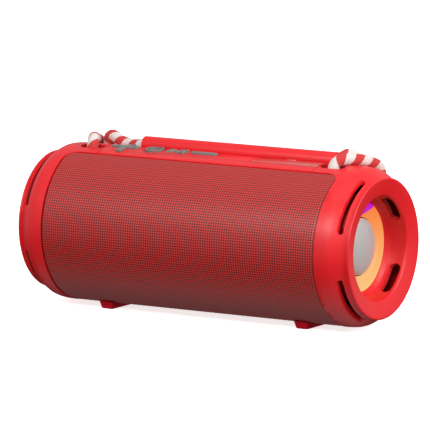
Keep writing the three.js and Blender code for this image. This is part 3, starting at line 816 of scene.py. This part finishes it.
def rope_pieces():
    """The rope: a fixed loop at each end, and a free part that lifts with the handle."""
    for end, side in SIDES:
        loop, _, length = rope_piece(f"handle_loop_{end}", [(side * x, y, z) for x, y, z in LOOP], turn=side,
                                     phase=0.25 - 0.25 * side)
        bpy.ops.mesh.primitive_uv_sphere_add(
            segments=24, ring_count=16, radius=4.9 * MM, location=(side * TAIL_X * MM, 22.6 * MM, (34 + AXIS_Z) * MM))
        ball = named("ball")
        done(ball)
        ball.data.uv_layers[0].name = "lay"
        loop = joined(loop, ball)
        placed(loop, "shell", "rope", f"rope_loop_{end}")
        print("loop", end, round(length * 1000, 1))
    inside = [(x, GRIP_Y, GRIP_Z) for x in (80.5, 70, 50, 30, 12.8)]
    right = [*STRAND_RIGHT, *inside]
    left = [*STRAND_LEFT, *[(x, GRIP_Y, GRIP_Z) for x in (-57, -45, -25, -5, 12.4)]]
    for name, points, nodes in (("handle_rope_right", right, ("rope_strand_right", "rope_middle")),
                                ("handle_rope_left", left, ("rope_strand_left",))):
        rope, _, length = rope_piece(name, points, phase=0.5)
        print(name, round(length * 1000, 1))
        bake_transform(rope)
        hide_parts(*nodes)


def grip_piece():
    """The grip tube that the rope runs through, with rounded mouths."""
    lo, hi = (Vector(p) / MM for p in GRIP)
    wall = eased([(lo.x + 1.4, 3.8, 0.5), (lo.x + 1.4, GRIP_R, 1.5), (hi.x - 2.2, GRIP_R, 1.5), (hi.x - 2.2, 3.8, 0.5)], steps=5)
    tube = spun("grip", [(p.x, p.y) for p in wall], centre=(0, GRIP_Y, GRIP_Z), steps=64)
    smooth(tube)
    placed(tube, "grip", "shell", "grip_tube", material=finishes()["shell"])


# ---- the stage ------------------------------------------------------------------------

def stage_pieces():
    """A pale floor, soft lights and the camera."""
    scene = bpy.context.scene
    clear_selection()
    bpy.ops.mesh.primitive_plane_add(size=30, location=(0, 0, 0))
    floor = named("floor")
    material, tree, shader, place = blank("white_paper_floor", Roughness=0.9, Base_Color=rgb("ffffff"))
    shader.inputs["Emission Color"].default_value = (1, 1, 1, 1)
    shader.inputs["Emission Strength"].default_value = 0.75
    floor.data.materials.append(material)
    floor.visible_diffuse = False
    floor.visible_glossy = False

    def area(name, azimuth, elevation, distance, wide, high, watts, colour="ffffff"):
        a, e = math.radians(azimuth), math.radians(elevation)
        back = Vector((math.sin(a) * math.cos(e), -math.cos(a) * math.cos(e), math.sin(e)))
        data = bpy.data.lights.new(name, "AREA")
        data.shape, data.size, data.size_y = "RECTANGLE", wide, high
        data.energy, data.color = watts, rgb(colour)[:3]
        lamp = bpy.data.objects.new(name, data)
        lamp.location = back * distance + Vector((0, 0, 0.05))
        lamp.rotation_euler = (-back).to_track_quat("-Z", "Y").to_euler()
        scene.collection.objects.link(lamp)

    area("front_softbox", 6, 34, 1.3, 1.3, 0.4, 12.5)
    area("top_softbox", 30, 84, 1.3, 1.2, 0.6, 2)
    area("right_softbox", 94, 26, 1.3, 0.8, 0.8, 13.5)

    world = bpy.data.worlds.new("studio")
    scene.world = world
    world.use_nodes = True
    tree = world.node_tree
    sky = tree.nodes["Background"]
    height = node(tree, "ShaderNodeSeparateXYZ", {0: node(tree, "ShaderNodeTexCoord").outputs["Generated"]})
    ramp = node(tree, "ShaderNodeValToRGB", {0: node(
        tree, "ShaderNodeMapRange", {"Value": height.outputs[2]}, From_Min=-1.0, From_Max=1.0).outputs[0]})
    stops = ramp.color_ramp.elements
    stops[0].position, stops[0].color = 0.0, (0.9, 0.9, 0.9, 1)
    stops[1].position, stops[1].color = 0.6, (0.62, 0.62, 0.62, 1)
    for position, grey in ((0.1, 0.5), (0.18, 0.05), (0.36, 0.05), (0.43, 0.45)):
        stops.new(position).color = (grey, grey, grey, 1)
    tree.links.new(ramp.outputs[0], sky.inputs["Color"])
    sky.inputs["Strength"].default_value = 0.8

    a, e, distance = math.radians(31.6), math.radians(8.85), 3.371
    back = Vector((math.sin(a) * math.cos(e), -math.cos(a) * math.cos(e), math.sin(e)))
    data = bpy.data.cameras.new("camera")
    data.lens, data.sensor_width = 450.6, 36.0
    data.shift_x, data.shift_y = -2.1 / 430, 18.2 / 430
    data.clip_start, data.clip_end = 0.05, 60
    camera = bpy.data.objects.new("camera", data)
    camera.location = Vector((0, 0, AXIS_Z * MM)) + back * distance
    camera.rotation_euler = (-back).to_track_quat("-Z", "Y").to_euler()
    scene.collection.objects.link(camera)
    scene.camera = camera
    scene.view_settings.view_transform = "Standard"


def dress_frame():
    """Gives every CAD node that still shows its finish."""
    for row in frame["record"]["subparts"]:
        carried = frame["nodes"][row["node"]]
        carried.data.materials.clear()
        carried.data.materials.append(finishes()[row["material_slot"]])


# ---- operators and panel --------------------------------------------------------------

def operator(idname, label, doc, work):
    """An operator class that runs one piece's function."""

    def execute(self, context):
        work()
        return {"FINISHED"}

    return type(f"SPEAKER_OT_{idname}", (bpy.types.Operator,), {
        "bl_idname": f"speaker.{idname}", "bl_label": label, "__doc__": doc, "execute": execute})


OPERATORS = [
    operator("frame", "Dress the frame", "Gives the carried CAD nodes their finishes", dress_frame),
    operator("caps", "End caps", "Models both end caps",
             lambda: [cap_piece(*side) for side in SIDES]),
    operator("panel", "Crown panel", "Models the crown panel", panel_piece),
    operator("keys", "Buttons", "Models the four buttons",
             lambda: [button_piece(name) for name in ("plus", "power", "play", "minus")]),
    operator("cover", "Socket cover", "Models the cover over the sockets", cover_piece),
    operator("cloth", "Cloth", "Models the woven cloth", cloth_piece),
    operator("ends", "Open ends", "Models the light rings and domes",
             lambda: [end_pieces(*side) for side in SIDES]),
    operator("feet", "Feet", "Models both feet", lambda: [foot_piece(*side) for side in SIDES]),
    operator("rope", "Rope", "Models the handle rope", rope_pieces),
    operator("grip", "Grip tube", "Models the grip tube", grip_piece),
    operator("stage", "Stage", "Adds the floor, the lights and the camera", stage_pieces),
]


class SPEAKER_PT_build(bpy.types.Panel):
    """Lists the speaker's operators and settings."""

    bl_label = "Party speaker"
    bl_space_type = "VIEW_3D"
    bl_region_type = "UI"
    bl_category = "Speaker"

    def draw(self, context):
        for made in OPERATORS:
            self.layout.operator(made.bl_idname)
        for group in (context.scene.speaker_sizes, context.scene.speaker_finish):
            for key in group.bl_rna.properties.keys():
                if key not in ("rna_type", "name"):
                    self.layout.prop(group, key)


CLASSES = [SpeakerFinish, SpeakerSizes, *OPERATORS, SPEAKER_PT_build]


def register():
    for made in CLASSES:
        bpy.utils.register_class(made)
    bpy.types.Scene.speaker_finish = bpy.props.PointerProperty(type=SpeakerFinish)
    bpy.types.Scene.speaker_sizes = bpy.props.PointerProperty(type=SpeakerSizes)


def unregister():
    del bpy.types.Scene.speaker_sizes
    del bpy.types.Scene.speaker_finish
    for made in reversed(CLASSES):
        bpy.utils.unregister_class(made)


def main():
    register()
    for made in OPERATORS:
        group, name = made.bl_idname.split(".")
        getattr(getattr(bpy.ops, group), name)()


if __name__ == "__main__":
    main()
